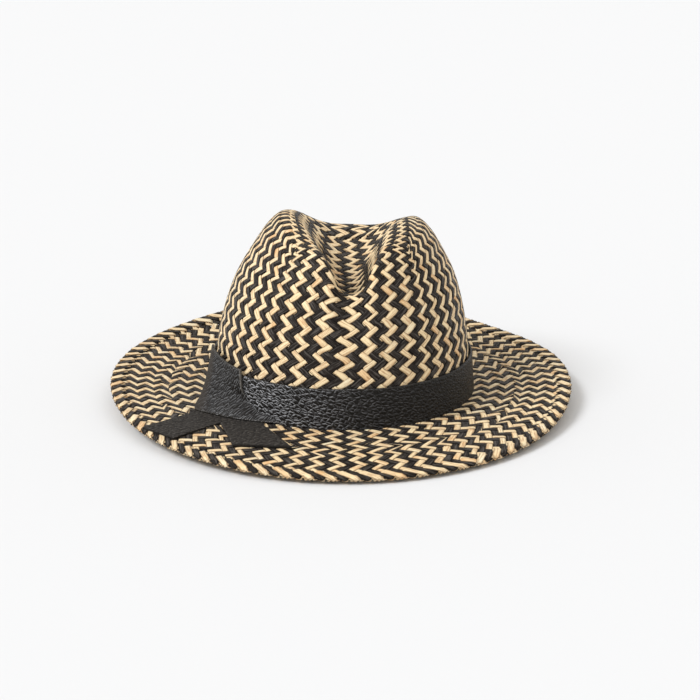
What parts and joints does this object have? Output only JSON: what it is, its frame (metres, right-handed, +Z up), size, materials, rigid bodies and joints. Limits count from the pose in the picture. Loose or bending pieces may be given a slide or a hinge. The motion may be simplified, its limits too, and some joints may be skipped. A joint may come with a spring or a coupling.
{
  "type": "straw fedora with a knotted leather band",
  "caption": "Fedora hat of zigzag two-tone woven straw with a creased crown, a wide curved brim and a knotted black leather band whose tails lie on the brim.",
  "frame": {"origin": "middle of the overall box at floor level, below the head opening", "axes": "+Z up; the front of the hat faces -Y; +X is to the right seen from the front, and the knot is on the -X side"},
  "size_m": [0.3068, 0.343, 0.124],
  "materials": {
    "woven_straw": "matt twill-plaited straw, natural and black strands in zigzags",
    "grained_leather": "satin pebbled black leather",
    "smooth_leather": "matt fine-grained black leather"
  },
  "bodies": {
    "root": {"crown": "woven_straw", "brim": "woven_straw", "hat_band": "grained_leather", "band_loop": "grained_leather", "tail_left": "smooth_leather", "tail_right": "smooth_leather"}
  },
  "joints": []
}
